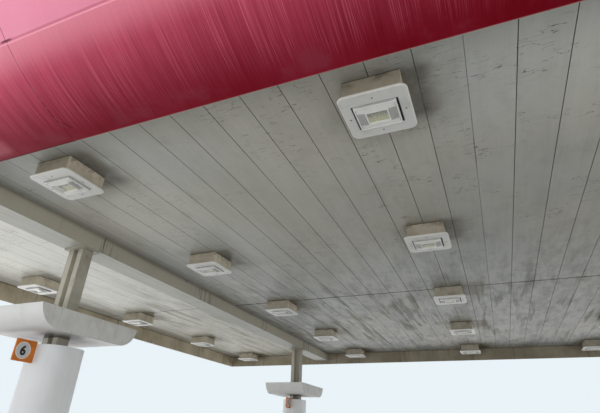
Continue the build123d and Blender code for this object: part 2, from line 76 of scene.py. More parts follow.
# Shader maths
class Wire:
    """An output socket of a tree. Arithmetic on it adds Math nodes."""

    def __init__(self, tree, socket):
        self.tree = tree
        self.socket = socket

    def math(self, operation, *parts):
        return self.tree.add("ShaderNodeMath", {"operation": operation}, parts)

    def __add__(self, other):
        return self.math("ADD", self, other)

    def __radd__(self, other):
        return self.math("ADD", other, self)

    def __sub__(self, other):
        return self.math("SUBTRACT", self, other)

    def __rsub__(self, other):
        return self.math("SUBTRACT", other, self)

    def __mul__(self, other):
        return self.math("MULTIPLY", self, other)

    def __rmul__(self, other):
        return self.math("MULTIPLY", other, self)

    def __truediv__(self, other):
        return self.math("DIVIDE", self, other)

    def __pow__(self, other):
        return self.math("POWER", self, other)

    def __gt__(self, other):
        return self.math("GREATER_THAN", self, other)

    def __lt__(self, other):
        return self.math("LESS_THAN", self, other)

    def __abs__(self):
        return self.math("ABSOLUTE", self)

    def floor(self):
        return self.math("FLOOR", self)

    def fraction(self):
        return self.math("FRACT", self)

    def least(self, other):
        return self.math("MINIMUM", self, other)

    def most(self, other):
        return self.math("MAXIMUM", self, other)

    def ease(self, low, high):
        """0 below low, 1 above high and smooth between, or the other way round where low is above high."""
        settings = {"interpolation_type": "SMOOTHSTEP", "clamp": True}
        sockets = {"Value": self, "From Min": low, "From Max": high}
        return self.tree.add("ShaderNodeMapRange", settings, sockets)


class Tree:
    """The nodes of a material or of the world, added one at a time."""

    def __init__(self, owner):
        owner.use_nodes = True
        self.nodes, self.links = owner.node_tree.nodes, owner.node_tree.links
        self.nodes.clear()

    def add(self, kind, settings, sockets, out=0):
        """Adds a node: its settings first, then the values or links of its sockets."""
        node = self.nodes.new(kind)
        for key, value in settings.items():
            setattr(node, key, value)
        pairs = sockets.items() if isinstance(sockets, dict) else enumerate(sockets)
        for key, value in pairs:
            if isinstance(value, Wire):
                self.links.new(value.socket, node.inputs[key])
            else:
                node.inputs[key].default_value = value
        return Wire(self, node.outputs[out])

    def end(self, kind, shader):
        """Links a shader to an output node of its own."""
        self.links.new(shader.socket, self.nodes.new(kind).inputs["Surface"])

    def split(self, vector):
        node = self.add("ShaderNodeSeparateXYZ", {}, [vector]).socket.node
        return [Wire(self, socket) for socket in node.outputs]


class Finish(Tree):
    """A material on Object coordinates."""

    def __init__(self, name):
        self.material = bpy.data.materials.new(name)
        super().__init__(self.material)
        self.place = self.add("ShaderNodeTexCoord", {}, {}, out="Object")
        self.x, self.y, self.z = self.split(self.place)

    def point(self, x, y):
        return self.add("ShaderNodeCombineXYZ", {}, [x, y])

    def noise(self, per_metre, detail=3.0, rough=0.55, at=None, stretch=(1, 1, 1), shift=0.0):
        """Cloudy values about 0.5. stretch multiplies the frequency along X, Y and Z."""
        spot = self.add("ShaderNodeMapping", {}, {"Vector": at or self.place, "Location": (shift,) * 3,
                                                  "Scale": stretch})
        return self.add("ShaderNodeTexNoise", {}, {"Vector": spot, "Scale": per_metre, "Detail": detail,
                                                   "Roughness": rough})

    def chance(self, first, second):
        """One steady value between 0 and 1 for each pair of whole numbers."""
        return self.add("ShaderNodeTexWhiteNoise", {}, {"Vector": self.point(first, second)})

    def cells(self, per_metre, stretch=(1, 1, 1)):
        """Distance to the nearest of many scattered points, in cells."""
        spot = self.add("ShaderNodeMapping", {}, {"Vector": self.place, "Scale": stretch})
        return self.add("ShaderNodeTexVoronoi", {}, {"Vector": spot, "Scale": per_metre})

    def mix(self, share, first, second):
        """The second colour over the first by a share."""
        settings = {"data_type": "RGBA", "blend_type": "MIX", "clamp_factor": True}
        return self.add("ShaderNodeMix", settings, {0: share, 6: first, 7: second}, out=2)

    def tone(self, colour, factor):
        """A colour made lighter or darker by a factor that may vary."""
        base = colour if isinstance(colour, Wire) else colour[:3]
        return self.add("ShaderNodeVectorMath", {"operation": "SCALE"}, {0: base, "Scale": factor})

    def normal(self):
        """Which way the surface faces, along X, Y and Z."""
        return self.split(self.add("ShaderNodeNewGeometry", {}, {}, out="Normal"))

    def upward(self):
        """1 on faces that look up."""
        return self.normal()[2] > 0.5

    def bump(self, height, depth, strength):
        """A normal that follows a height from 0 to 1, worth so many metres."""
        return self.add("ShaderNodeBump", {}, {"Strength": strength, "Distance": depth, "Height": height})

    def finish(self, colour, roughness, normal=None, **uniform):
        """Ends the material in one Principled shader. uniform holds what is the same all over."""
        sockets = {"Base Color": colour, "Roughness": roughness}
        if normal is not None:
            sockets["Normal"] = normal
        sockets.update({key.replace("_", " "): value for key, value in uniform.items()})
        self.end("ShaderNodeOutputMaterial", self.add("ShaderNodeBsdfPrincipled", {}, sockets))
        return self.material


def paint(red, green, blue):
    """A linear colour from screen values of 0 to 255."""
    def linear(value):
        share = value / 255
        return share / 12.92 if share <= 0.04045 else ((share + 0.055) / 1.055) ** 2.4
    return (linear(red), linear(green), linear(blue), 1.0)


# Finishes
RUST = paint(112, 62, 34)
# The grime and soot colours serve for real dirt and also for painted shade where parts meet and in recesses
GRIME_AND_SHADE = paint(74, 68, 58)
SOOT_AND_SHADE = paint(52, 49, 45)


def past_nearest(length, pitch, first=0.0):
    """How far a point is past the nearest of the places that repeat along a length, below 0 short of it."""
    return (((length - first) / pitch + 0.5).fraction() - 0.5) * pitch


def light_offsets(f, drift_x=0.0, drift_y=0.0):
    """How far a point is from the nearest light's middle along X and Y, its place drifted if asked."""
    across = None
    for row in LIGHT_ROWS:
        reach = abs(f.x - (row + drift_x))
        across = reach if across is None else across.least(reach)
    return across, abs(past_nearest(f.y, LIGHT_PITCH, LIGHT_SHIFT + drift_y))


def light_distance(f, drift_x, drift_y):
    """How far a point is in plan from the nearest light's box."""
    across, along = light_offsets(f, drift_x, drift_y)
    corner_x = (across - HOUSING_HALF).most(0.0)
    corner_y = (along - HOUSING_HALF).most(0.0)
    return (corner_x * corner_x + corner_y * corner_y) ** 0.5


def deck_strokes(f, wisps):
    """Short dark strokes in clusters, and claw-like ones near the row of lights right of the middle."""
    clawed_x = 0.9
    contour = abs(f.noise(6.0, 3.0, 0.62, stretch=(0.36, 2.4, 1), shift=33.0) - 0.5).ease(0.014, 0.004)
    clusters = f.noise(0.9, 3.0, 0.55, shift=23.0).ease(0.54, 0.62) * wisps.ease(0.44, 0.56)
    claws = abs(f.noise(7.5, 2.0, 0.6, stretch=(0.5, 1.9, 1), shift=63.0) - 0.5).ease(0.016, 0.005)
    claws = claws * f.noise(1.3, 2.0, 0.5, shift=71.0).ease(0.52, 0.60)
    claws = claws * f.noise(5.0, 2.0, shift=77.0).ease(0.50, 0.56)
    claws = claws * abs(f.x - clawed_x).ease(2.6, 1.0)
    return (contour * clusters * 0.62).most(claws * 0.8)


def deck_top(f, own, streaks):
    """The upper side of the pans: cloudy grey with rust in patches."""
    cloud = f.noise(1.6, 5.0, 0.62, stretch=(1, 0.5, 1)).ease(0.36, 0.68)
    base = f.mix(cloud, paint(168, 171, 170), paint(134, 132, 124))
    base = f.tone(base, 0.90 + own * 0.10 + streaks * 0.10)
    return f.mix(f.noise(2.3, 6.0, 0.72, shift=31.0).ease(0.64, 0.74) * 0.6, base, RUST)


def deck_film_and_dark_patches(f, base, back, outer):
    """A brownish film and a darker patch beside each light, both drifted to the right and the back."""
    film = light_distance(f, 0.12, 0.10).ease(0.52, 0.02)
    film = film * f.noise(3.4, 4.0, 0.64, shift=7.0).ease(0.26, 0.56)
    base = f.mix(film * (0.34 + back * 0.40), base, paint(102, 93, 58))
    # A darker patch beside each light's box, drifted to the right and the back
    dark_patch = light_distance(f, 0.12, 0.08).ease(0.22, 0.0) * (0.35 + f.noise(4.0, 4.0, 0.6, shift=9.0) * 0.8)
    return f.mix(dark_patch * (0.80 - outer * 0.45), base, paint(66, 61, 50))


def deck_finish():
    """Dull grey coil paint in one tone for each pan: stains, dark seams, strokes, a brownish film and darker
    patches round the lights, and painted light that makes the front and the outer fields paler.
    """
    f = Finish("deck_pan")
    line = f.x / PAN_PITCH + 0.5
    own = f.chance(line.floor(), (f.y > 0.0) * 7.0)

    # Parts of the roof, by how much a point belongs to them
    outer = f.x.ease(-BEAM_X + 0.1, -BEAM_X - 0.1)
    back = f.y.ease(-4.2, 1.0)
    front = f.y.ease(-2.5, -6.0)
    front_left = f.x.ease(1.5, -5.0) * f.y.ease(3.0, -5.0)
    near_right = f.x.ease(-1.0, 1.0) * f.y.ease(-4.6, -6.4)

    # Paint and its uneven tone, with painted light: paler in the outer fields and to the front, the front
    # left and the near right, darker to the back
    streaks = f.noise(9.0, 4.0, 0.6, stretch=(3.2, 0.09, 1))
    broad_streaks = f.noise(1.9, 4.0, 0.62, stretch=(2.4, 0.22, 1), shift=41.0)
    mottle = f.noise(3.0, 5.0, 0.68, stretch=(1.6, 0.55, 1), shift=51.0)
    cloud = f.noise(0.55, 5.0, 0.6, shift=17.0)
    smudge = f.noise(2.6, 5.0, 0.62, stretch=(1.2, 0.8, 1))
    wisps = f.noise(11.0, 5.0, 0.68, stretch=(0.55, 1.5, 1), shift=13.0)
    warmth = f.noise(0.28, 2.0, 0.5, shift=4.0).ease(0.38, 0.66)
    inner_paint = f.mix(warmth, paint(169, 172, 167), paint(172, 171, 161))
    # Painted light: the outer fields beyond the beams are paler, most of all to the front
    outer_paint_and_light = f.mix(f.y.ease(-3.0, 3.5), paint(202, 203, 195), paint(185, 185, 171))
    base = f.mix(outer, inner_paint, outer_paint_and_light)
    spread = (streaks - 0.5) * 0.20 + (smudge - 0.5) * 0.20 + (cloud - 0.5) * 0.36
    spread = spread + (broad_streaks - 0.5) * (back * 1.2 + 0.16)
    spread = spread + (mottle.ease(0.36, 0.58) - 0.6) * (back * 0.28 + 0.05) * (1.0 - outer * 0.6)
    # Painted light: besides each pan's own tone, the pans are made lighter to the front, the front left and
    # the near right, and darker to the back
    light = own * 0.09 + front_left * 0.24 + near_right * 0.26 + front * 0.15 - back * 0.05
    base = f.tone(base, 0.92 + light + spread)

    # Dirt, seams between pans, the fold where the front and the back run meet, a darker band beside each
    # beam, and the film and darker patches beside the lights
    dirt = smudge.ease(0.52, 0.76) * 0.16 + wisps.ease(0.58, 0.78) * 0.22
    dirt = dirt + broad_streaks.ease(0.50, 0.64) * back * 0.40
    base = f.mix(dirt, base, paint(84, 79, 60))
    base = f.mix(deck_strokes(f, wisps), base, paint(72, 69, 60))
    pan_edge = PAN_PITCH / 2 - abs(line.fraction() - 0.5) * PAN_PITCH
    seam = pan_edge.ease(0.0065, 0.0020) * (0.45 + f.noise(3.0, 3.0) * 0.6)
    fold = abs(f.y).ease(0.046, 0.012) * (0.72 + wisps * 0.5) * (1.0 - outer * 0.5)
    base = f.mix(seam.most(fold), base, paint(44, 41, 35))
    # Darker in a band beside each beam
    beside_beam = abs(abs(f.x) - BEAM_X).ease(0.50, 0.25) * (0.20 + broad_streaks * 0.5)
    base = f.mix(beside_beam, base, GRIME_AND_SHADE)
    base = deck_film_and_dark_patches(f, base, back, outer)
    base = f.mix(f.upward().most(f.z > SOFFIT + 0.004), base, deck_top(f, own, streaks))
    rough = 0.42 + dirt * 0.6 + (streaks - 0.5) * 0.16
    wave = f.noise(2.2, 2.0, 0.4, stretch=(1.0, 0.5, 1), shift=3.0)
    return f.finish(base, rough, f.bump(wave * 0.9 + wisps * 0.1, 0.004, 0.35), Specular_IOR_Level=0.22)


def liner_finish(name, along):
    """Old beige-brown sheet with a few upright runs of dirt, painted light that makes the side liners paler
    and the front and back ones darker, and painted shade along its top under the deck.
    """
    f = Finish(name)
    runs = {"x": (1, 0.1, 0.07), "y": (0.1, 1, 0.07)}[along]
    length = f.x if along == "x" else f.y
    fine = f.noise(14.0, 4.0, 0.65, stretch=runs)
    broad = f.noise(1.6, 3.0, 0.6, stretch=runs, shift=5.0)
    cloud = f.noise(1.3, 4.0, 0.6, shift=9.0)
    base = f.mix(cloud.ease(0.36, 0.66), paint(178, 168, 146), paint(152, 142, 120))
    # Painted light: the liners along the sides are made paler and those along the front and back darker, as
    # light falls on them
    base = f.tone(base, 0.82 if along == "x" else 1.30)
    base = f.mix(fine.ease(0.48, 0.70) * broad.ease(0.46, 0.62) * 0.65, base, paint(82, 70, 54))
    base = f.mix(fine.ease(0.44, 0.30) * 0.12, base, paint(206, 200, 184))
    joint = abs(past_nearest(length, LINER_LENGTH, LINER_LENGTH / 2))
    base = f.mix(joint.ease(0.012, 0.004) * 0.6, base, SOOT_AND_SHADE)
    # Painted shade along the top, where the liner meets the deck
    base = f.mix(f.z.ease(SOFFIT - 0.05, SOFFIT - 0.005) * (0.35 + cloud * 0.5), base, GRIME_AND_SHADE)
    base = f.mix(f.noise(24.0, 5.0, 0.7, shift=17.0).ease(0.72, 0.77) * 0.8, base, RUST)
    return f.finish(base, 0.5 + (fine - 0.5) * 0.25, f.bump(fine * 0.4 + cloud * 0.6, 0.003, 0.3))


def steel_finish():
    """Grey-beige paint on rolled steel, brushed on, with rust on the upward faces."""
    f = Finish("structural_steel")
    brush = f.noise(30.0, 4.0, 0.6, stretch=(1, 1, 0.05))
    cloud = f.noise(2.5, 5.0, 0.62, shift=3.0)
    base = f.mix(cloud.ease(0.36, 0.68), paint(186, 181, 167), paint(164, 158, 143))
    base = f.tone(base, 0.94 + brush * 0.12)
    scale = f.noise(6.0, 6.0, 0.72, shift=21.0)
    rust = scale.ease(0.66, 0.71) * 0.55 + f.upward() * scale.ease(0.47, 0.62) * 0.8
    base = f.mix(rust.least(0.9), base, f.tone(RUST, 0.6 + brush * 0.9))
    rough = 0.52 + rust * 0.3 + (brush - 0.5) * 0.2
    return f.finish(base, rough, f.bump(brush * 0.3 + scale * 0.7, 0.003, 0.35))


def wrap_finish():
    """Plain beige-grey folded sheet: runs on its sides, painted shade along their top under the deck and a
    thin painted shadow along their foot, smears along its underside.
    """
    f = Finish("beam_wrap")
    side = f.z > WRAP_LOW + 0.004
    runs = f.noise(13.0, 4.0, 0.66, stretch=(0.1, 1, 0.06))
    bands = f.noise(1.1, 4.0, 0.6, stretch=(0.3, 1, 0.2), shift=8.0)
    cloud = f.noise(5.0, 5.0, 0.66, shift=14.0)
    smears = f.noise(7.0, 4.0, 0.6, stretch=(2.2, 0.1, 1), shift=2.0)
    wall = f.mix(runs.ease(0.56, 0.80) * 0.20 + bands.ease(0.48, 0.72) * 0.22, paint(186, 181, 165),
                 paint(132, 124, 104))
    wall = f.tone(wall, 0.97 + cloud * 0.10)
    belly = f.mix(smears.ease(0.42, 0.74) * 0.30, paint(180, 182, 171), paint(130, 125, 110))
    belly = f.tone(belly, 1.0 - f.y.ease(-4.5, 2.0) * 0.30)
    base = f.mix(side, belly, wall)
    # Painted shade along the top of the sides, where the wrap meets the deck
    shade_under_deck = f.z.ease(SOFFIT - 0.07, SOFFIT) * (0.20 + cloud * 0.5)
    base = f.mix(shade_under_deck, base, GRIME_AND_SHADE)
    chips = f.cells(2.3, stretch=(0.15, 1, 0.15)).ease(0.055, 0.03)
    base = f.mix(chips * f.z.ease(SOFFIT - 0.045, SOFFIT - 0.03) * 0.8, base, SOOT_AND_SHADE)
    # Painted shadow: a thin dark line along the foot of each side
    edge = f.z.ease(WRAP_LOW + 0.012, WRAP_LOW + 0.002) * side * 0.18
    base = f.mix(edge, base, SOOT_AND_SHADE)
    lap = abs(past_nearest(f.y, WRAP_LENGTH, WRAP_FIRST_JOINT))
    base = f.mix(lap.ease(0.012, 0.004) * 0.75, base, SOOT_AND_SHADE)
    base = f.mix(lap.ease(0.45, 0.0) * runs.ease(0.50, 0.62) * side * 0.85, base, paint(84, 76, 60))
    return f.finish(base, 0.48 + (runs - 0.5) * 0.2, f.bump(bands * 0.6 + cloud * 0.4, 0.003, 0.3))


def fascia_place(f, along):
    """Where a point lies on a curved sheet: its length along the side of the roof, its girth up from the
    lower edge, and its reach and rise from the middle of the curve."""
    length, out = (f.x, abs(f.y) - ROOF_BACK) if along == "x" else (f.y, abs(f.x) - ROOF_RIGHT)
    reach = out + SHEET_RADIUS * math.sin(LIP_SLOPE)
    rise = LIP + SHEET_RADIUS * math.cos(LIP_SLOPE) - f.z
    girth = (reach.math("ARCTAN2", reach, rise) - LIP_SLOPE) * SHEET_RADIUS
    return length, girth, reach, rise


def front_sheet_marks(f, base, length, girth, patch):
    """A painted shadow along the lip of the left sheet of the front, and a pale patch worn into its lower
    edge.
    """
    patch_length, patch_girth = -3.52, 0.15
    left_sheet = (length < -SHEET_END) * (f.y < 0.0)
    # Painted shadow: a dark band along the lip of the front's left sheet
    base = f.mix(girth.ease(0.020, 0.008) * left_sheet * 0.7, base, paint(48, 8, 16))
    worn = abs(length - patch_length).ease(0.20, 0.06) * abs(girth - patch_girth).ease(0.13, 0.04)
    return f.mix(worn * (0.1 + patch * 0.4), base, paint(222, 140, 152))


def sheet_inside(f, along, reach, rise):
    """1 on the face of a sheet that looks towards the middle of its curve."""
    normal = f.normal()
    side, outward = (f.y, normal[1]) if along == "x" else (f.x, normal[0])
    return outward * ((side > 0.0) * 2.0 - 1.0) * reach < normal[2] * rise


def fascia_finish(name, along):
    """Glossy red sheet with thin upright streaks, chalky with a painted sky sheen higher up and to the front
    left, painted highlights along the crease and the lower edge, grey inside.
    """
    f = Finish(name)
    length, girth, reach, rise = fascia_place(f, along)
    spot = f.point(length, girth)
    hair = f.noise(210.0, 2.0, 0.6, at=spot, stretch=(1, 0.005, 1))
    fine = f.noise(104.0, 2.0, 0.6, at=spot, stretch=(1, 0.008, 1), shift=6.0)
    band = f.noise(11.0, 3.0, 0.6, at=spot, stretch=(1, 0.05, 1), shift=2.0)
    broad = f.noise(0.55, 3.0, 0.6, at=spot, stretch=(1, 0.5, 1), shift=8.0)
    patch = f.noise(2.4, 4.0, 0.6, at=spot, shift=11.0)
    # Share of chalky fading and painted sky sheen, which grows towards the left of the front
    weather_and_sheen = length.ease(3.2, -4.6) * (f.y < 0.0) if along == "x" else 0.0
    lower = girth < SHEET_CREASE

    # Deep red that fades with the height, and a painted sheen of the sky that grows with the height and
    # towards the front left
    fade_and_sheen = girth.ease(0.05, 1.8) * (weather_and_sheen * 0.62 + 0.38)
    fade_and_sheen = fade_and_sheen + girth.ease(0.0, 0.8) * weather_and_sheen * 0.30 + girth.ease(0.1, 1.0) * 0.08 + weather_and_sheen * 0.12
    fade_and_sheen = fade_and_sheen + (band - 0.5) * 0.10 + (broad - 0.5) * 0.34 + (patch - 0.5) * 0.12
    base = f.mix(fade_and_sheen, paint(124, 0, 22), paint(228, 98, 128))
    base = f.tone(base, 0.90 + (hair - 0.5) * 0.32 + (fine - 0.5) * 0.20 + (broad - 0.5) * 0.3)

    # Light and dark runs, and dust over the lower edge
    where = f.noise(1.3, 3.0, 0.6, at=spot, stretch=(3.0, 0.8, 1), shift=19.0)
    runs = girth.ease(0.02, 0.34) * where.ease(0.30, 0.56) * (lower * 0.75 + 0.25)
    light_runs = fine.ease(0.54, 0.68) * 0.15 + hair.ease(0.54, 0.66) * 0.30
    base = f.mix(light_runs * runs, base, paint(234, 130, 152))
    dark_runs = (fine.ease(0.42, 0.32) * 0.24 + hair.ease(0.42, 0.32) * 0.34) * (lower * 0.8 + 0.2)
    base = f.mix(dark_runs * where.ease(0.66, 0.42), base, paint(78, 0, 18))
    lip_dust = patch.ease(0.50, 0.64) * girth.ease(0.01, 0.07) * girth.ease(0.30, 0.16) * 0.34
    base = f.mix(lip_dust, base, paint(138, 62, 78))

    # A painted highlight below the crease, and chalk with a painted sky sheen on the upper sheet
    # Painted highlight: a pale band just below the crease
    lap = (girth - SHEET_CREASE).ease(-0.34, -0.016) * lower * (weather_and_sheen * 0.50 + 0.08)
    base = f.mix(lap, base, paint(244, 172, 186))
    # The upper sheet paler: partly chalk, partly painted sky sheen
    upper = (girth > SHEET_CREASE) * (0.06 + weather_and_sheen * 0.70 + (broad - 0.5) * 0.4)
    base = f.mix(upper, base, paint(246, 172, 196))

    # Upright joints, with painted shade where a dent would be and a dark mark beside them, a painted
    # highlight along the crease, and a painted highlight along the lower edge
    dent_from_joint, dent_girth, dent_lean = 0.065, 0.19, 0.6
    joint = abs(abs(length) - SHEET_END)
    base = f.mix(joint.ease(0.022, 0.008) * patch.ease(0.54, 0.64) * 0.16, base, paint(236, 128, 152))
    base = f.mix(joint.ease(0.006, 0.002) * (0.06 + patch.ease(0.52, 0.62) * 0.4), base, paint(62, 6, 16))
    # Painted shade: a dark line where a dent in the sheet would be
    up_dent = girth - dent_girth
    dent = abs(length + SHEET_END - dent_from_joint + up_dent * dent_lean).ease(0.010, 0.003)
    dent = dent * abs(up_dent).ease(0.05, 0.03)
    corner_mark = joint.ease(0.09, 0.03) * abs(girth - SHEET_CREASE - 0.012).ease(0.012, 0.004)
    base = f.mix(corner_mark.most(dent) * 0.75, base, paint(60, 12, 22))
    # Painted highlight: a light line along the edge of the crease
    crease_highlight = abs(girth - SHEET_CREASE + 0.012).ease(0.010, 0.004)
    base = f.mix(crease_highlight * (0.06 + weather_and_sheen * 0.3 + where * weather_and_sheen * 0.5), base, paint(248, 184, 200))
    # Painted highlight: a pale hairline along the rolled lower edge
    base = f.mix(girth.ease(0.011, 0.004) * 0.40, base, paint(214, 130, 140))
    if along == "x":
        base = front_sheet_marks(f, base, length, girth, patch)

    inside = sheet_inside(f, along, reach, rise)
    wash = f.mix(patch.ease(0.40, 0.66), paint(166, 166, 162), paint(140, 138, 130))
    base = f.mix(inside, base, f.tone(wash, 0.9 + band * 0.2))
    rough = 0.26 + fine * 0.10 + hair * 0.06 + inside * 0.2
    wave = f.bump(broad * 0.66 + patch * 0.10 + band * 0.12 + fine * 0.08 + hair * 0.04, 0.010, 0.35)
    return f.finish(base, rough, wave, Specular_IOR_Level=0.08)


def coping_finish():
    """Red coil paint, chalky and dusty on top."""
    f = Finish("coping")
    cloud = f.noise(3.0, 5.0, 0.64)
    fine = f.noise(45.0, 4.0, 0.66, shift=6.0)
    base = f.mix(cloud.ease(0.36, 0.66), paint(168, 32, 58), paint(186, 66, 86))
    base = f.tone(base, 0.86 + fine * 0.28)
    base = f.mix(f.upward() * cloud.ease(0.42, 0.62) * 0.45, base, GRIME_AND_SHADE)
    return f.finish(base, 0.42 + cloud * 0.25, f.bump(cloud * 0.7 + fine * 0.3, 0.003, 0.25))


def galvanised_finish():
    """Zinc with its flakes, dulled and stained."""
    f = Finish("galvanised")
    flake = f.cells(60.0)
    cloud = f.noise(5.0, 4.0, 0.6)
    base = f.mix(cloud.ease(0.4, 0.7), paint(168, 172, 174), paint(132, 132, 128))
    base = f.tone(base, 0.86 + flake * 0.3)
    return f.finish(base, 0.42 + cloud * 0.25, f.bump(cloud, 0.002, 0.2), Metallic=0.35)


def housing_finish():
    """Dirty beige-brown enamel, with painted light that makes the box's right side paler and painted shade
    where it meets the soffit.
    """
    f = Finish("housing")
    runs = f.noise(20.0, 4.0, 0.65, stretch=(1, 1, 0.12))
    cloud = f.noise(4.0, 4.0, 0.6, shift=4.0)
    base = f.mix(cloud.ease(0.38, 0.66), paint(190, 182, 164), paint(168, 159, 142))
    # Painted light: the faces that look right are made paler
    base = f.tone(base, 0.98 + (f.normal()[0] > 0.5) * 0.52)
    base = f.mix(runs.ease(0.58, 0.76) * 0.35, base, paint(120, 104, 82))
    blots = f.noise(8.0, 4.0, 0.65, shift=12.0).ease(0.50, 0.62) * f.z.ease(SOFFIT - 0.11, SOFFIT - 0.01)
    base = f.mix(blots * 0.6, base, paint(96, 76, 58))
    # Painted shade: a dark band along the top, where the box meets the soffit
    base = f.mix(f.z.ease(SOFFIT - 0.016, SOFFIT - 0.002) * 0.85, base, SOOT_AND_SHADE)
    base = f.mix(f.noise(30.0, 5.0, 0.7, shift=8.0).ease(0.70, 0.76) * 0.5, base, RUST)
    return f.finish(base, 0.50 + (runs - 0.5) * 0.2, f.bump(runs, 0.0015, 0.3))


def enamel(f, colour, dirt):
    """Pale enamel with a film of dirt and fine specks, duller near the left edge, and the film's height."""
    cloud = f.noise(5.5, 4.0, 0.62)
    fine = f.noise(40.0, 4.0, 0.7, shift=6.0)
    base = f.mix(cloud.ease(0.48, 0.74) * dirt + fine.ease(0.58, 0.80) * dirt, colour, paint(140, 134, 120))
    base = f.tone(base, 0.96 + fine * 0.08 - f.x.ease(-6.0, -8.0) * 0.20)
    speck = f.cells(55.0).ease(0.10, 0.05) * f.noise(3.0, 2.0, shift=9.0).ease(0.55, 0.62)
    return f.mix(speck * 0.6, base, SOOT_AND_SHADE), fine


def trim_finish():
    """Pale grey enamel, with a painted highlight along the rolled outer edge and painted shade round the
    edge of the lens window.
    """
    f = Finish("trim")
    base, fine = enamel(f, paint(218, 220, 215), 0.20)
    # Painted highlight: the sloping and upright faces of the rolled edge are made whiter
    facing_up = f.normal()[2]
    rolled = (facing_up > -0.95) * (facing_up < 0.5)
    base = f.mix(rolled * 0.7, base, paint(236, 235, 227))
    # Painted shade round the edge of the window and on its walls
    across, along = light_offsets(f)
    outside = (across - LENS_WINDOW[0] / 2).most(along - LENS_WINDOW[1] / 2)
    base = f.mix(outside.ease(0.009, 0.001) * 0.80, base, SOOT_AND_SHADE)
    return f.finish(base, 0.34 + fine * 0.12, f.bump(fine, 0.0008, 0.25))


def reflector_finish():
    """White enamel, with grey painted shade between the fins at the left and right of the lens, and a thin
    painted shade line inside the border.
    """
    f = Finish("reflector")
    base, fine = enamel(f, paint(232, 233, 228), 0.14)
    tilt = abs(f.normal()[0])
    across, along = light_offsets(f)
    # Painted shade: the slopes between the fins are made dull grey
    fin_gap_shade = (tilt > 0.08) * (tilt < 0.6) * (along < FIN_REACH)
    inside = (LENS_FRAME[0] / 2 - across).least(LENS_FRAME[1] / 2 - along)
    # Painted shade: a thin dark line just inside the border
    base = f.mix(abs(inside - 0.015).ease(0.005, 0.001) * 0.42, base, SOOT_AND_SHADE)
    base = f.mix(fin_gap_shade, base, paint(146, 147, 144))
    return f.finish(base, 0.28 + fine * 0.16, f.bump(fine, 0.0008, 0.25))


def bead_finish(name, colour):
    """Clean enamel of the beads and fins of the lens frames."""
    f = Finish(name)
    base, fine = enamel(f, colour, 0.10)
    return f.finish(base, 0.26 + fine * 0.14, f.bump(fine, 0.0006, 0.25))


def duct_finish():
    """Pale beige-grey sheet with a few runs, and painted shade at the top under the wrap."""
    f = Finish("duct")
    runs = f.noise(24.0, 4.0, 0.66, stretch=(1, 1, 0.05))
    cloud = f.noise(2.5, 4.0, 0.6, shift=7.0)
    base = f.mix(cloud.ease(0.36, 0.66), paint(214, 210, 196), paint(198, 192, 176))
    base = f.mix(runs.ease(0.56, 0.78) * 0.35, base, paint(132, 120, 98))
    # Painted shade towards the top, where the duct runs up under the wrap
    base = f.mix(f.z.ease(WRAP_LOW - 0.14, WRAP_LOW) * (0.2 + cloud * 0.4), base, GRIME_AND_SHADE)
    return f.finish(base, 0.44 + (runs - 0.5) * 0.2, f.bump(runs * 0.4 + cloud * 0.6, 0.002, 0.25))


def lens_finish():
    """Ribbed glass over a lamp, yellow-green to the back, with painted shade of its recess making the front
    grey-green.
    """
    f = Finish("lens")
    along = past_nearest(f.y, LIGHT_PITCH, LIGHT_SHIFT)
    prism = f.cells(110.0, stretch=(1, 1, 0.2))
    # Painted shade: the front half of each lens is made darker grey-green
    base = f.mix(along.ease(-0.05, 0.05), paint(112, 120, 106), paint(196, 198, 158))
    base = f.mix(prism.ease(0.25, 0.7) * 0.6, base, paint(214, 216, 196))
    base = f.mix(f.cells(70.0).ease(0.20, 0.08) * 0.5, base, paint(70, 72, 60))
    wave = f.bump(prism, 0.002, 0.7)
    return f.finish(base, 0.16 + prism * 0.15, wave, Coat_Weight=0.5, Coat_Roughness=0.08)


def valance_finish():
    """Smooth pale grey paint, a little dirt low down, and soft brown painted shade on the underside near the
    column.
    """
    f = Finish("valance")
    runs = f.noise(14.0, 4.0, 0.66, stretch=(1, 1, 0.06))
    broad = f.noise(1.6, 4.0, 0.6, stretch=(1, 1, 0.3), shift=3.0)
    cloud = f.noise(5.0, 5.0, 0.66, shift=12.0)
    base = f.tone(paint(226, 228, 225), 0.97 + cloud * 0.06)
    base = f.mix(runs.ease(0.60, 0.80) * 0.16 + broad.ease(0.52, 0.74) * 0.12, base, paint(150, 144, 128))
    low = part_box("valance_front_left")[0].z
    # Painted shade: brown-dark on the underside, near each column
    beside = ((abs(f.x) - BEAM_X) ** 2.0 + (abs(f.y) - COLUMN_Y) ** 2.0) ** 0.5
    shade_near_column = f.z.ease(low + 0.06, low + 0.005) * beside.ease(0.85, 0.30) * (0.66 + cloud * 0.5)
    base = f.mix(shade_near_column, base, paint(66, 60, 50))
    base = f.mix(f.upward() * (0.45 + cloud * 0.4), base, GRIME_AND_SHADE)
    return f.finish(base, 0.34 + broad * 0.16, f.bump(broad * 0.7 + cloud * 0.3, 0.003, 0.25))


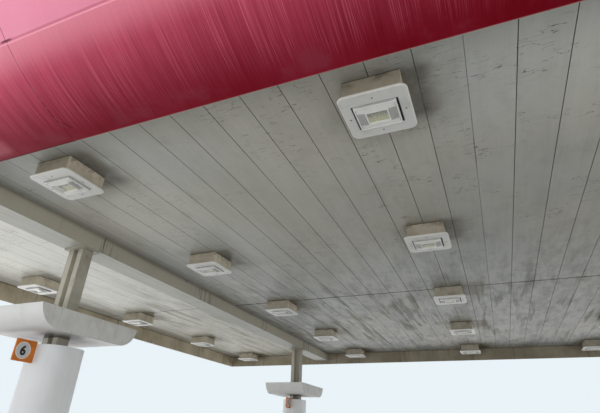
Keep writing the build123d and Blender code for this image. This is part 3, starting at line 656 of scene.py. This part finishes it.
def end_plate_finish():
    """Pale grey paint with thin dark runs from the top edge, and small specks."""
    f = Finish("end_plate")
    low, high = (corner.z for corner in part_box("valance_end_plates"))
    runs = f.noise(26.0, 3.0, 0.66, stretch=(0.1, 1, 0.05))
    ends = f.noise(9.0, 3.0, 0.6, stretch=(0.1, 1, 1), shift=9.0)
    cloud = f.noise(4.0, 5.0, 0.66, shift=12.0)
    base = f.mix(cloud.ease(0.40, 0.66), paint(216, 216, 212), paint(203, 202, 196))
    base = f.tone(base, 0.97 + ends * 0.06)
    run = runs.ease(0.58, 0.72) * ends.ease(0.40, 0.58) * f.z.ease(low + 0.02, high - 0.06)
    base = f.mix(run * 0.55, base, paint(112, 104, 90))
    speck = f.cells(26.0, stretch=(0.2, 1, 1)).ease(0.11, 0.06) * cloud.ease(0.42, 0.56)
    base = f.mix(speck * 0.7, base, SOOT_AND_SHADE)
    return f.finish(base, 0.42 + ends * 0.16, f.bump(cloud * 0.8 + runs * 0.2, 0.003, 0.25))


def cover_finish():
    """Satin pale grey paint, a little uneven, scuffed low down."""
    f = Finish("cover")
    cloud = f.noise(1.2, 3.0, 0.5)
    fine = f.noise(60.0, 4.0, 0.6, stretch=(1, 1, 0.4), shift=5.0)
    runs = f.noise(14.0, 4.0, 0.66, stretch=(1, 1, 0.05), shift=15.0)
    base = f.mix(cloud.ease(0.35, 0.70), paint(242, 244, 245), paint(230, 233, 233))
    base = f.tone(base, 0.98 + fine * 0.04)
    base = f.mix(runs.ease(0.62, 0.82) * 0.12, base, paint(150, 144, 132))
    scuff = f.noise(11.0, 5.0, 0.72, shift=25.0).ease(0.52, 0.64) * f.z.ease(0.75, 0.05)
    base = f.mix(scuff * 0.75, base, paint(84, 80, 74))
    return f.finish(base, 0.30 + cloud * 0.12 + scuff * 0.3, f.bump(cloud * 0.8 + fine * 0.2, 0.002, 0.2))


def flag_finish():
    """Orange plastic sheet, a little faded and dusty."""
    f = Finish("flag")
    cloud = f.noise(6.0, 4.0, 0.6)
    fine = f.noise(70.0, 3.0, 0.6, shift=4.0)
    base = f.mix(cloud.ease(0.4, 0.7), paint(216, 122, 14), paint(198, 106, 12))
    base = f.mix(fine.ease(0.6, 0.8) * 0.2, base, paint(120, 74, 26))
    return f.finish(base, 0.32 + cloud * 0.15, f.bump(fine, 0.0006, 0.3))


def ink_finish(name, colour, other):
    """Flat print or film, slightly mottled."""
    f = Finish(name)
    fine = f.noise(80.0, 3.0, 0.6)
    base = f.mix(fine.ease(0.45, 0.75), colour, other)
    return f.finish(base, 0.40 + fine * 0.1, f.bump(fine, 0.0004, 0.2))


def bolt_finish(name, colour):
    """Dull plated steel with rust in patches."""
    f = Finish(name)
    patch = f.noise(90.0, 4.0, 0.65)
    base = f.mix(patch.ease(0.5, 0.66), colour, RUST)
    return f.finish(base, 0.40 + patch * 0.3, f.bump(patch, 0.0006, 0.3), Metallic=0.4)


FINISHES = {
    "structural_steel": steel_finish(),
    "deck_pan": deck_finish(),
    "beam_wrap": wrap_finish(),
    "liner_x": liner_finish("liner_x", "x"),
    "liner_y": liner_finish("liner_y", "y"),
    "red_x": fascia_finish("red_x", "x"),
    "red_y": fascia_finish("red_y", "y"),
    "coping": coping_finish(),
    "galvanised": galvanised_finish(),
    "housing": housing_finish(),
    "trim": trim_finish(),
    "reflector": reflector_finish(),
    "duct": duct_finish(),
    "lens": lens_finish(),
    "valance": valance_finish(),
    "end_plate": end_plate_finish(),
    "cover": cover_finish(),
    "flag": flag_finish(),
    "disc": ink_finish("disc", paint(204, 205, 202), paint(188, 190, 189)),
    "ring": ink_finish("ring", paint(238, 238, 232), paint(226, 226, 220)),
    "reflector_bead": bead_finish("reflector_bead", paint(240, 241, 237)),
    "fin": bead_finish("fin", paint(200, 201, 196)),
    "digit": ink_finish("digit", paint(14, 14, 16), paint(24, 24, 26)),
    "fastener": bolt_finish("fastener", paint(138, 136, 130)),
    "dark_fastener": bolt_finish("dark_fastener", paint(52, 48, 44)),
}


def dress(name, finish):
    """Gives a node of the construction its finish."""
    slots = nodes[name].material_slots
    if not slots:
        nodes[name].data.materials.append(FINISHES[finish])
    for slot in slots:
        slot.material = FINISHES[finish]


def dress_all():
    """Gives every node of the construction its finish, by the start of its name."""
    finishes = {"column_cover": "cover", "column_ducts": "duct", "column": "structural_steel",
                "valance_brackets": "galvanised", "valance_end_plates": "end_plate", "valance": "valance",
                "main_beam": "structural_steel", "purlins": "structural_steel", "beam_wrap": "beam_wrap",
                "deck": "deck_pan", "fascia_ribs": "galvanised", "fascia_coping": "coping",
                "light_housings": "housing", "light_trims": "trim", "lens_frames": "reflector",
                "lenses": "lens", "number_flags": "flag"}
    for name in nodes:
        along = "x" if name.endswith(("front", "back")) else "y"
        if name.startswith("liner_"):
            dress(name, "liner_" + along)
        elif name.startswith(("fascia_lower", "fascia_upper")):
            dress(name, "red_" + along)
        else:
            dress(name, finishes[next(start for start in finishes if name.startswith(start))])


# Small pieces
def keep(name, mesh_in_progress, finish):
    """Makes a piece of the object from a bmesh, which rides on the structure."""
    bmesh.ops.recalc_face_normals(mesh_in_progress, faces=mesh_in_progress.faces)
    mesh = bpy.data.meshes.new(name)
    mesh_in_progress.to_mesh(mesh)
    mesh_in_progress.free()
    mesh.materials.append(FINISHES[finish])
    piece = bpy.data.objects.new(name, mesh)
    bpy.context.scene.collection.objects.link(piece)
    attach(piece, "root")


def facing(normal):
    """The turn that takes +Z to a direction."""
    return Vector((0, 0, 1)).rotation_difference(Vector(normal)).to_matrix().to_4x4()


def add_screw(bm, spot, normal, radius, height):
    """A low domed head on a surface."""
    place = Matrix.Translation(Vector(spot) + Vector(normal) * height / 2) @ facing(normal)
    bmesh.ops.create_cone(bm, cap_ends=True, segments=8, radius1=radius, radius2=radius * 0.6, depth=height,
                          matrix=place)


def screws(name, spots, radius=0.007, height=0.004, finish="fastener"):
    """One piece with a head at each place. spots holds pairs of place and outward direction."""
    bm = bmesh.new()
    for spot, normal in spots:
        add_screw(bm, spot, normal, radius, height)
    keep(name, bm, finish)


def evenly(start, end, pitch):
    """Places between two ends, a set distance apart or a little less."""
    count = max(1, math.ceil((end - start) / pitch))
    return [start + (end - start) * i / count for i in range(count + 1)]


def wrap_screws():
    """Screws low on both sides of each beam's wrap."""
    inset, pitch, rise = 0.05, 0.61, 0.030
    for side in ("left", "right"):
        low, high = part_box("beam_wrap_" + side)
        spots = []
        for y in evenly(low.y + inset, high.y - inset, pitch):
            spots.append(((low.x, y, WRAP_LOW + rise), (-1, 0, 0)))
            spots.append(((high.x, y, WRAP_LOW + rise), (1, 0, 0)))
        screws("wrap_screws_" + side, spots, finish="beam_wrap")


def trim_screw_places():
    """Places of the screws at the middle of each side of every light's trim plate."""
    reach_x, reach_y = 0.258, 0.234
    return [((x + dx, y + dy, LIGHT_LOW), (0, 0, -1)) for x, y in LIGHT_PLACES
            for dx, dy in ((reach_x, 0), (-reach_x, 0), (0, reach_y), (0, -reach_y))]


def add_ring(bm, middle, size, corner, width, high, thick):
    """A flat ring with rounded corners and rounded edges, which hangs thick below the height high."""
    length, depth = size
    place = Matrix.Translation((middle[0], middle[1], high)) @ Matrix.Diagonal((length, depth, 1, 1))
    corners = bmesh.ops.create_grid(bm, x_segments=1, y_segments=1, size=0.5, matrix=place)["verts"]
    round_off = bmesh.ops.bevel(bm, geom=corners, offset=corner, offset_type="OFFSET", segments=4,
                                profile=0.5, affect="VERTICES", material=-1)
    plate = max(round_off["faces"] + [face for vertex in round_off["verts"] for face in vertex.link_faces],
                key=lambda face: face.calc_area())
    rim = bmesh.ops.inset_region(bm, faces=[plate], thickness=width, use_even_offset=True,
                                 use_boundary=True)["faces"]
    bmesh.ops.delete(bm, geom=[plate], context="FACES_ONLY")
    walls = bmesh.ops.extrude_face_region(bm, geom=rim)
    lower = [item for item in walls["geom"] if isinstance(item, bmesh.types.BMVert)]
    bmesh.ops.translate(bm, verts=lower, vec=(0, 0, -thick))
    low_edges = [edge for edge in {edge for vertex in lower for edge in vertex.link_edges}
                 if all(vertex in lower for vertex in edge.verts) and any(
                     abs(face.normal.z) < 0.5 for face in edge.link_faces)]
    rounding = min(width, thick) * 0.45
    bmesh.ops.bevel(bm, geom=low_edges, offset=rounding, offset_type="OFFSET", segments=2, profile=0.5,
                    affect="EDGES", material=-1)


def lens_rings():
    """The rolled border round the foot of every lens frame, and a bead round each lens."""
    border_corner, border_width, border_thick, border_lap = 0.026, 0.013, 0.015, 0.006
    bead_corner, bead_width, bead_thick, bead_lap, bead_inset = 0.010, 0.007, 0.006, 0.003, 0.004
    bead_size = [length - bead_inset for length in LENS_RIM]
    bm = bmesh.new()
    for place in LIGHT_PLACES:
        add_ring(bm, place, LENS_FRAME, border_corner, border_width, LENS_STEP + border_lap, border_thick)
        add_ring(bm, place, bead_size, bead_corner, bead_width, LENS_FRAME_LOW + bead_lap, bead_thick)
    keep("lens_rings", bm, "reflector_bead")


def lens_fins():
    """Thin fins on the left and right slopes of every lens frame."""
    pitch, thick, proud, sunk = 0.0115, 0.0036, 0.005, 0.001
    rim_gap, border_gap = 0.004, 0.010
    inner, outer = LENS_RIM[0] / 2 + rim_gap, LENS_FRAME[0] / 2 - border_gap
    middle = (inner + outer) / 2
    slope = (LENS_STEP - LENS_FRAME_LOW) / (LENS_FRAME[0] - LENS_RIM[0]) * 2
    high = LENS_FRAME_LOW + (middle - LENS_RIM[0] / 2) * slope - proud / 2 + sunk
    size = Matrix.Diagonal((outer - inner, thick, proud, 1))
    count = int(FIN_REACH / pitch)
    bm = bmesh.new()
    for x, y in LIGHT_PLACES:
        for side in (-1, 1):
            tilt = Matrix.Rotation(-side * math.atan(slope), 4, "Y")
            for i in range(-count, count + 1):
                place = Matrix.Translation((x + side * middle, y + i * pitch, high))
                bmesh.ops.create_cube(bm, size=1, matrix=place @ tilt @ size)
    keep("lens_fins", bm, "fin")


def cap_bolt_places():
    """Places of four bolts up through each column's cap, seen from below."""
    reach_x, reach_y, cap_thick = 0.19, 0.055, 0.022
    spots = []
    for place, middle in COLUMNS.items():
        cap_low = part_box("column_" + place)[1].z - cap_thick
        spots += [((middle.x + dx, middle.y + dy, cap_low), (0, 0, -1))
                  for dx in (-reach_x, reach_x) for dy in (-reach_y, reach_y)]
    return spots


def add_disc(bm, middle, side, radius):
    """A thin round film on the left or the right face of a flag."""
    film = 0.001
    bmesh.ops.create_cone(bm, cap_ends=True, segments=48, radius1=radius, radius2=radius, depth=film,
                          matrix=Matrix.Translation(middle) @ facing((side, 0, 0)))


def add_digit(bm, middle, side, number):
    """A number that stands upright and is read from the left or the right."""
    text = bpy.data.curves.new("number", "FONT")
    text.body = number
    text.size = 0.165
    text.extrude = 0.0005
    text.offset = 0.008
    text.resolution_u = 6
    shape = bpy.data.objects.new("number", text)
    bpy.context.scene.collection.objects.link(shape)
    bpy.context.view_layer.update()
    mesh = bpy.data.meshes.new_from_object(shape)
    bpy.data.objects.remove(shape)
    corners = [vertex.co.copy() for vertex in mesh.vertices]
    middle_x = (min(c.x for c in corners) + max(c.x for c in corners)) / 2
    middle_y = (min(c.y for c in corners) + max(c.y for c in corners)) / 2
    mesh.transform(Matrix.Translation((-middle_x, -middle_y, 0)))
    upright = Matrix.Rotation(math.radians(90), 4, "X")
    mesh.transform(Matrix.Translation(middle) @ Matrix.Rotation(math.radians(90 * side), 4, "Z") @ upright)
    bm.from_mesh(mesh)
    bpy.data.meshes.remove(mesh)


def flag_marks():
    """A disc, its white rim and a number on both faces of each flag."""
    disc_to_cover = 0.184
    disc_radius, ring_radius = 0.104, 0.1125
    disc_proud, ring_proud, digit_proud = 0.0105, 0.0102, 0.0115    # from the flag's middle plane
    low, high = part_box("number_flags")
    for place, number in FLAG_NUMBERS.items():
        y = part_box("column_cover_" + place)[0].y - disc_to_cover
        marks = (("disc", "disc", disc_proud, add_disc, disc_radius),
                 ("ring", "ring", ring_proud, add_disc, ring_radius),
                 ("number", "digit", digit_proud, add_digit, number))
        for mark, finish, proud, add_mark, detail in marks:
            bm = bmesh.new()
            for side in (-1, 1):
                add_mark(bm, (COLUMNS[place].x + side * proud, y, (low.z + high.z) / 2), side, detail)
            keep(f"flag_{mark}_{place}", bm, finish)


dress_all()
wrap_screws()
screws("trim_screws", trim_screw_places(), radius=0.008, finish="dark_fastener")
screws("cap_bolts", cap_bolt_places(), radius=0.016, height=0.012)
lens_rings()
lens_fins()
flag_marks()


# Studio
FLOOR_TONE = 0.86
BOUNCE_TONE = 0.34              # of the floor, for light that it throws back
FLOOR_HALF = 150
FLOOR_HEIGHT = -0.002
FADE_START, FADE_END = 28.0, 70.0
BACKDROP = paint(233, 243, 248)
FILL = (0.96, 0.98, 1.0, 1.0)
SKY_FILL = 0.65
HORIZON_FILL = 0.8


def seen_directly(tree):
    """1 for what the camera, a mirror or glass sees, 0 for light that falls on the object."""
    path = tree.add("ShaderNodeLightPath", {}, {}).socket.node
    camera, glossy, through = (Wire(tree, path.outputs[name + " Ray"])
                               for name in ("Is Camera", "Is Glossy", "Is Transmission"))
    return camera.most(glossy).most(through)


def floor_finish():
    """A pale floor that fades into the backdrop far off and is open from below."""
    f = Finish("floor")
    direct = seen_directly(f)
    tone = direct * (FLOOR_TONE - BOUNCE_TONE) + BOUNCE_TONE
    pale = f.add("ShaderNodeBsdfDiffuse", {}, {"Color": f.tone((1.0, 1.0, 1.0), tone)})
    clear = f.add("ShaderNodeBsdfTransparent", {}, {})
    back = f.add("ShaderNodeNewGeometry", {}, {}, out="Backfacing")
    far = (f.x * f.x + f.y * f.y) ** 0.5
    share = (far.ease(FADE_START, FADE_END) * direct).most(back)
    f.end("ShaderNodeOutputMaterial", f.add("ShaderNodeMixShader", {}, [share, pale, clear]))
    return f.material


def make_floor():
    """A wide floor just below the feet of the columns."""
    bm = bmesh.new()
    place = Matrix.Translation((0, 0, FLOOR_HEIGHT))
    bmesh.ops.create_grid(bm, x_segments=1, y_segments=1, size=FLOOR_HALF, matrix=place)
    mesh = bpy.data.meshes.new("floor")
    bm.to_mesh(mesh)
    bm.free()
    mesh.materials.append(floor_finish())
    floor = bpy.data.objects.new("floor", mesh)
    bpy.context.scene.collection.objects.link(floor)


def make_world():
    """A pale backdrop, and an even light from all round."""
    world = bpy.data.worlds.new("studio")
    bpy.context.scene.world = world
    tree = Tree(world)
    direct = seen_directly(tree)
    height = abs(tree.split(tree.add("ShaderNodeTexCoord", {}, {}, out="Generated"))[2])
    strength = height.ease(0.60, 0.15) * HORIZON_FILL + SKY_FILL
    fill = tree.add("ShaderNodeBackground", {}, {"Color": FILL, "Strength": strength})
    backdrop = tree.add("ShaderNodeBackground", {}, {"Color": BACKDROP, "Strength": 1.0})
    tree.end("ShaderNodeOutputWorld", tree.add("ShaderNodeMixShader", {}, [direct, fill, backdrop]))


def add_light(name, kind, energy, matrix, **settings):
    """Adds a light that the camera doesn't see."""
    data = bpy.data.lights.new(name, kind)
    data.energy = energy
    for key, value in settings.items():
        setattr(data, key, value)
    lamp = bpy.data.objects.new(name, data)
    lamp.matrix_world = matrix
    lamp.visible_camera = False
    bpy.context.scene.collection.objects.link(lamp)


def add_ground_light(name, level, low, high):
    """A wide light just over the floor that looks up, as bright as a lit pale surface of that level."""
    height = 0.03
    face_up = Matrix.Rotation(math.radians(180), 4, "X")
    length, width = high[0] - low[0], high[1] - low[1]
    middle = ((low[0] + high[0]) / 2, (low[1] + high[1]) / 2, height)
    add_light(name, "AREA", level * math.pi * length * width, Matrix.Translation(middle) @ face_up,
              shape="RECTANGLE", size=length, size_y=width)


def make_lights():
    """Soft lights over the floor, under the roof and outside it, and a high one from the front left."""
    far_x, far_y, near_x, near_y = 30.0, 26.0, 12.5, 10.5
    under_low, under_high = (-8.5, -5.5), (7.0, 6.5)
    turn, tilt, softness = -30, 38, 35      # of the high light, in degrees
    add_ground_light("under_light", 0.18, under_low, under_high)
    add_ground_light("front_light", 1.2, (-far_x, -far_y), (far_x, -near_y))
    add_ground_light("back_light", 0.9, (-far_x, near_y), (far_x, far_y))
    add_ground_light("left_light", 2.2, (-far_x, -near_y), (-near_x, near_y))
    add_ground_light("right_light", 1.5, (near_x, -near_y), (far_x, near_y))
    lean = Matrix.Rotation(math.radians(turn), 4, "Z") @ Matrix.Rotation(math.radians(tilt), 4, "X")
    add_light("high_light", "SUN", 1.1, lean, angle=math.radians(softness))


# Camera
CAMERA_AT = (0.845, -9.36, 1.62)
CAMERA_TURN = 23.552        # degrees to the left of the roof's depth
CAMERA_TILT = 27.878
CAMERA_ROLL = -2.160
CAMERA_LENS = 26.25
SENSOR_WIDTH = 36.0


def make_camera():
    """The photo's viewpoint."""
    data = bpy.data.cameras.new("camera")
    data.lens = CAMERA_LENS
    data.sensor_width = SENSOR_WIDTH
    data.sensor_fit = "HORIZONTAL"
    data.clip_end = 500
    camera = bpy.data.objects.new("camera", data)
    matrix = Matrix.Translation(CAMERA_AT)
    for angle, axis in ((CAMERA_TURN, "Z"), (CAMERA_TILT, "X"), (CAMERA_ROLL, "Y"), (90, "X")):
        matrix = matrix @ Matrix.Rotation(math.radians(angle), 4, axis)
    camera.matrix_world = matrix
    bpy.context.scene.collection.objects.link(camera)
    bpy.context.scene.camera = camera


make_floor()
make_world()
make_lights()
make_camera()
bpy.context.scene.view_settings.view_transform = "Standard"
